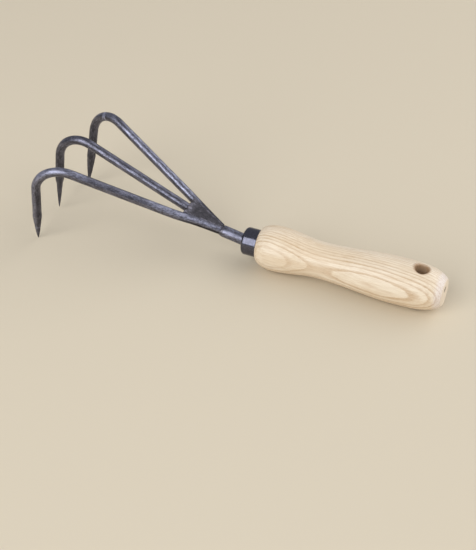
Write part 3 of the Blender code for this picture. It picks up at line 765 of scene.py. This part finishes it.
def steelMaterial(name, bar):
    # forge scale worn along the bar, then its marks one over another, among them a painted highlight on the
    # lit upper side and painted shade below: each mask is a fade along the bar times one across it, times a
    # ragged noise where its edge is uneven
    marks = steel[bar]
    material, place, noise, colour = startMaterial(name, steel, barPlace, metal)
    x, y, z = split(place)
    rough = noise["patches"] * steel["patchRoughness"] + steel["roughness"]
    # scuffs: worn bare metal, and a painted highlight on the bar's lit upper side
    for start, end, lowest, strength, matt in marks.get("scuffsAndHighlights", ()):
        ragged = cloud(place, *steel["ragged"], (start, 0.0, 0.0))
        mask = x.fading(start, end, steel["scuffAndHighlightEnds"]) * z.between(lowest, lowest + steel["scuffAndHighlightFade"])
        mask *= ragged.between(*steel["raggedEdge"])
        colour = mixed(mask * strength, colour, steel["bareAndHighlight"])
        rough += mask * matt
    for distance, width, slant, strength in marks.get("scratches", ()):
        broken = cloud(place, *steel["broken"], (distance, 0.0, 0.0))
        off = abs(z * slant + x - distance)
        mask = off.between(steel["scratchCore"] * width, width, 1.0, 0.0)
        mask *= broken.between(*steel["brokenEdge"])
        colour = mixed(mask * strength, colour, steel["bareAndHighlight"])
        rough += mask * steel["scratchRoughness"]
    # painted shade: the bar darker below a given height, on its underside and, on the middle and far tines,
    # all round the prong
    for start, end, highest, strength in marks.get("shadesBelow", ()):
        mask = x.fading(start, end, steel["shadeBelowEnds"])
        mask *= z.between(highest - steel["shadeBelowFade"], highest, 1.0, 0.0)
        colour = mixed(mask * strength, colour, steel["shadeBelowColour"])
    for start, end, farthest, strength in marks.get("tints", ()):
        ragged = cloud(place, *steel["ragged"], (0.0, start, 0.0))
        side = ragged * steel["tintSway"] + y
        mask = x.fading(start, end, steel["tintEnds"]) * z.between(*steel["tintHeight"])
        mask *= side.between(farthest, farthest + steel["tintFade"], 1.0, 0.0)
        colour = mixed(mask * strength, colour, steel["dark"])
    for end in marks.get("soot", ()):
        mask = x.between(end + steel["sootFade"][0], end + steel["sootFade"][1], 1.0, 0.0)
        colour = mixed(mask * steel["sootStrength"], colour, steel["dark"])
        rough += mask * steel["sootRoughness"]
    rough += noise["streaks"] * steel["streakRoughness"]
    relief = noise["streaks"] * steel["streakRelief"] + noise["pits"]
    return finishMaterial(material, steel, colour, rough, relief)


# Welds
weld = {
    "ringWidth": 0.0016, "ringDepth": 0.0012, "rootTall": 0.0037, "rootWide": 0.0044,
    "columns": 96, "rows": 13, "seamRows": 90,
    "ringRipple": 0.012, "ringRipples": 11.0, "rippleSways": 3.0, "rippleSway": 2.0,
    "seamRadius": 0.0016, "seamLength": 0.015, "seamEndDepth": 0.002, "seamColumns": 28, "seamFill": 0.98,
    "puddleLength": 0.0011, "puddleDepth": 0.1, "endPower": 16,
    "base": srgb(96, 95, 103), "pale": srgb(150, 149, 162), "layers": (("tint", (0.35, 0.7), "pale"),),
    "noises": {"tint": (0.8, 4.0, 0.6), "skin": (2.4, 3.0, 0.6)},
    "roughness": 0.34, "tintRoughness": 0.2, "relief": (0.00008, 0.5),
}


def buildWeldRing(material):
    # a dressed weld that eases from the round neck to the oval of the two tine roots: each half
    # width follows a level curve from one to the other, with shallow ripples round the ring
    columns, radius = weld["columns"], head["neckRadius"]
    angles = around(columns)
    share = np.linspace(0.0, 1.0, weld["rows"])
    along = head["rootSetback"] - weld["ringWidth"] + (weld["ringWidth"] + gap) * share
    phase = weld["ringRipples"] * angles + weld["rippleSway"] * np.sin(weld["rippleSways"] * angles)
    shrink = 1.0 - weld["ringRipple"] * np.sin(np.pi * share)[:, None] * (1.0 + np.sin(phase))
    inner = np.full((1, columns), radius - weld["ringDepth"] + gap)

    def closed(half):  # from the groove out over the weld and back
        return np.concatenate([inner, half[:, None] * shrink, inner, inner])

    up = closed(radius + (weld["rootTall"] - radius) * smooth(share))
    out = closed(radius + (weld["rootWide"] - radius) * smooth(share))
    along = np.concatenate([along[:1], along, along[-1:], along[:1]])[:, None]
    turned = np.stack(np.broadcast_arrays(along, up * np.cos(angles), out * np.sin(angles)), -1)
    fan = turned @ np.array([[math.cos(kink), 0.0, -math.sin(kink)], [math.sin(kink), 0.0, math.cos(kink)],
                           [0.0, 1.0, 0.0]])
    makePiece("weld_ring", [(fromFan(fan), True)], material, "weld_neck")


def buildSeam(name, side, material):
    # a bead whose middle keeps one distance from both bars, in overlapping puddles
    reach = tine["radius"] + gap + weld["seamRadius"]
    spread = math.sin(fanAngle / 2)
    end = math.sqrt(reach ** 2 - weld["seamEndDepth"] ** 2) / spread
    share = np.linspace(0.0, 1.0, weld["seamRows"])
    along = end - weld["seamLength"] * (1.0 - share)
    middle = np.stack([along * math.cos(fanAngle / 2), side * along * spread,
                       -np.sqrt(reach ** 2 - (along * spread) ** 2)], -1)
    ahead = unitLong(np.gradient(middle, axis=0))
    across = unitLong(np.cross(ahead, np.array([0.0, 0.0, 1.0])))
    down = np.cross(ahead, across)
    puddles = np.abs(np.sin(np.pi * weld["seamLength"] * share / weld["puddleLength"]))
    ends = np.sqrt(np.clip(1.0 - (2.0 * share - 1.0) ** weld["endPower"], 0.0, 1.0))
    radius = weld["seamRadius"] * weld["seamFill"] * (1.0 - weld["puddleDepth"] * puddles) * ends
    angles = around(weld["seamColumns"])[None, :, None]
    circle = np.cos(angles) * across[:, None] + np.sin(angles) * down[:, None]
    grid = middle[:, None] + radius[:, None, None] * circle
    makePiece(name + "_bead", [(fromFan(grid), True)], material, name)


def weldMaterial():
    # bright and dark patches by a soft noise, with a fine uneven skin
    material, _, noise, colour = startMaterial("weld_metal", weld, objectPlace, metal)
    rough = noise["tint"] * weld["tintRoughness"] + weld["roughness"]
    return finishMaterial(material, weld, colour, rough, noise["skin"])


# Head plate
plate = {
    "length": 0.0295, "frontWidth": 0.0196, "noseWidth": 0.0042, "thickness": 0.0025, "proud": 0.0001,
    "corner": 0.0012, "edge": 0.0007, "spineStart": 0.0012, "spineEnd": 0.004,
    "edgeSteps": 72, "cornerSteps": 9, "topRows": 22, "edgeRows": 7, "underside": (1.0, 0.6, 0.2, 0.0),
    "dish": 0.00004, "dishLength": 0.008, "fineLength": 0.003, "fineShare": 0.4, "seed": 31,
    "scallopSide": 0.0053, "scallopHalfWidth": 0.0028, "scallopDepth": 0.0012, "scallopFrom": 0.9,
    "base": srgb(62, 61, 65), "grey": srgb(82, 80, 86), "scuff": srgb(150, 147, 160),
    "noises": {"smoke": (0.35, 4.0, 0.6), "scuff": ((0.5, 1.6, 1.0), 4.0, 0.7), "skin": (1.4, 4.0, 0.65)},
    "layers": (("smoke", (0.35, 0.7), "grey"),), "roughness": 0.5, "smokeRoughness": 0.15,
    "relief": (0.0001, 0.6),
    # smooth steps: light scuffs, the band at the front and its scuffs, the band at the sides and its
    # scuffs; the half width there, as its growth and its start; the weld's touch
    "lightScuffs": (0.54, 0.74, 0.0, 0.35), "frontBand": (-6.0, -1.0, 0.0, 0.6), "frontMargin": 3.0,
    "frontScuffs": (0.42, 0.6), "sideBand": (0.3, 2.8, 0.75, 0.0), "sideScuffs": (0.44, 0.6),
    "halfWidth": (0.261, 1.3), "tack": (31.0, 2.4, 3.5), "tackSway": -4.0,
    "tackEdge": (-1.2, 0.2, 0.8, 0.0),
}


def buildPlate(material):
    # a pillow between two faces: columns go round a tapered outline with rounded corners, rows go
    # from the middle line of the top out to the rounded edge and back under
    top, corner, edge = tine["radius"] + plate["proud"], plate["corner"], plate["edge"]
    bottom = top - plate["thickness"]
    noseX = (head["rootSetback"] + 2.0 * gap + top * math.sin(kink)) / math.cos(kink)
    frontX, frontY, noseY = noseX + plate["length"], plate["frontWidth"] / 2, plate["noseWidth"] / 2
    corners = np.array([[noseX, noseY], [frontX, frontY], [frontX, -frontY], [noseX, -noseY]])
    arc = np.linspace(0.0, 1.0, plate["cornerSteps"])[:, None]
    run = np.linspace(0.0, 1.0, plate["edgeSteps"])[1:-1, None]
    outline = []
    for i, here in enumerate(corners):
        following = corners[(i + 1) % 4]
        back, ahead = unitLong(np.array([corners[i - 1], following]) - here)
        outline.append(here + corner * (back * (1.0 - arc) ** 2 + ahead * arc ** 2))
        start = here + ahead * corner
        outline.append(start + (following - ahead * corner - start) * run)
    outline = np.concatenate(outline)
    # the weld between each pair of tines eats a cosine shaped hollow out of the front edge
    fromHollow = (np.abs(outline[:, 1]) - plate["scallopSide"]) / plate["scallopHalfWidth"]
    hollow = (1.0 + np.cos(np.pi * np.clip(fromHollow, -1.0, 1.0))) / 2.0
    atFront = outline[:, 0] > noseX + plate["scallopFrom"] * plate["length"]
    outline[:, 0] -= np.where(atFront, plate["scallopDepth"] * hollow, 0.0)
    spine = stations(np.clip(outline[:, 0], noseX + plate["spineStart"], frontX - plate["spineEnd"]), 0.0)
    inward = unitLong(spine - outline)
    inner = outline + inward * edge
    shares = np.linspace(0.0, 1.0, plate["topRows"])[:-1]
    rows = [stations(*(spine + (inner - spine) * share).T, top) for share in shares]
    for angle in np.linspace(0.0, quarter, plate["edgeRows"]):
        flat = outline + inward * edge * (1.0 - math.sin(angle))
        rows.append(stations(*flat.T, top - edge * (1.0 - math.cos(angle))))
    rows += [stations(*(spine + (outline - spine) * share).T, bottom) for share in plate["underside"]]
    grid = np.array(rows)
    worn = plate["dish"] * dents(grid, plate["dishLength"], plate["seed"])
    worn += plate["fineShare"] * plate["dish"] * dents(grid, plate["fineLength"], plate["seed"] + 1)
    grid[..., 2] -= np.where(grid[..., 2] > bottom + tiny, worn, 0.0)
    makePiece("head_web", [(fromFan(grid), True)], material, "head_plate", places=grid)


def plateMaterial():
    # sooty black plate, scuffed near its front and sides and touched by the weld at the middle tine;
    # the strongest of the four masks shows
    material, place, noise, colour = startMaterial("dark_plate_steel", plate, barPlace, metal)
    x, y, _ = split(place)
    scuff = noise["scuff"]
    growth, start = plate["halfWidth"]
    fromFront = x - (mm * plate["length"] + plate["frontMargin"])
    fromSide = x * growth + start - abs(y)
    fromTack = scuff * plate["tackSway"] + vectorCalc("DISTANCE", place, plate["tack"])
    atFront = fromFront.between(*plate["frontBand"]) * scuff.between(*plate["frontScuffs"])
    atSide = fromSide.between(*plate["sideBand"]) * scuff.between(*plate["sideScuffs"])
    worn = scuff.between(*plate["lightScuffs"])
    for mask in (atFront, atSide, fromTack.between(*plate["tackEdge"])):
        worn = worn.calc("MAXIMUM", mask)
    colour = mixed(worn, colour, plate["scuff"])
    rough = noise["smoke"] * plate["smokeRoughness"] + plate["roughness"]
    return finishMaterial(material, plate, colour, rough, noise["skin"])


buildHandle(ashMaterial())
print("handle turned")
buildFerrule(ferruleMaterial())
print("ferrule made")
buildNeck(steelMaterial("neck_steel", "neck_and_tang"))
for bar in ("tine_left", "tine_middle", "tine_right"):
    buildTine(bar, steelMaterial(tine[bar]["steel"], bar))
print("neck and tines forged")
weldSteel = weldMaterial()
buildWeldRing(weldSteel)
buildSeam("weld_seam_left", 1.0, weldSteel)
buildSeam("weld_seam_right", -1.0, weldSteel)
buildPlate(plateMaterial())
print("head welded")

# Floor, light and camera
stage = {
    "floor": {"Base Color": srgb(216, 205, 184), "Roughness": 0.9, "Specular IOR Level": 0.1},
    "floorReach": 6.0, "sky": (0.36, 0.36, 0.37),
    "window": {"azimuth": -17.0, "elevation": 34.0, "distance": 2.6, "width": 2.0, "height": 2.4,
               "watts": 46.0},
    "room": {"azimuth": 120.0, "elevation": 38.0, "distance": 2.6, "width": 5.5, "height": 2.5,
             "watts": 65.0},
    "cameraAzimuth": math.radians(23.51), "cameraElevation": math.radians(38.99),
    "cameraAim": np.array([0.0005, -0.0055, -0.0133]), "cameraDistance": 0.91156, "focalLength": 78.545,
}


def unit(azimuth, elevation):  # one metre that way, with the azimuth from -Y towards +X
    return np.array([math.sin(azimuth) * math.cos(elevation), -math.cos(azimuth) * math.cos(elevation),
                     math.sin(elevation)])


def stand(name, data, place, direction):
    # a lamp or camera at the place, looking back along the direction, with its own Y as near to up as
    # it can be
    across = unitLong(np.cross(np.array([0.0, 0.0, 1.0]), direction))
    turned = Matrix(np.column_stack([across, np.cross(direction, across), direction]).tolist()).to_4x4()
    made = bpy.data.objects.new(name, data)
    made.matrix_world = Matrix.Translation(place.tolist()) @ turned
    scene.collection.objects.link(made)
    return made


def softbox(name, azimuth, elevation, distance, width, height, watts):  # an even light, facing the tool
    lamp = bpy.data.lights.new(name, "AREA")
    lamp.shape = "RECTANGLE"
    lamp.size, lamp.size_y = width, height
    lamp.energy = watts
    direction = unit(math.radians(azimuth), math.radians(elevation))
    stand(name, lamp, direction * distance, direction)


def buildStage():  # one wide floor, an even sky, two lights and the camera
    reach = stage["floorReach"]
    floor = bpy.data.meshes.new("floor")
    floor.from_pydata([(-reach, -reach, 0), (reach, -reach, 0), (reach, reach, 0), (-reach, reach, 0)], [],
                      [(0, 1, 2, 3)])
    floor.materials.append(newMaterial("pale_floor", stage["floor"]))
    ground = bpy.data.objects.new("floor", floor)
    scene.collection.objects.link(ground)
    world = bpy.data.worlds.new("studio")
    world.use_nodes = True
    world.node_tree.nodes["Background"].inputs["Color"].default_value = (*stage["sky"], 1.0)
    scene.world = world
    softbox("window_softbox", **stage["window"])
    softbox("room_softbox", **stage["room"])
    camera = bpy.data.cameras.new("camera")
    camera.lens = stage["focalLength"]
    direction = unit(stage["cameraAzimuth"], stage["cameraElevation"])
    place = stage["cameraAim"] + direction * stage["cameraDistance"]
    scene.camera = stand("camera", camera, place, direction)
    scene.view_settings.view_transform = "Standard"


buildStage()
print("stage lit")

bpy.context.view_layer.update()
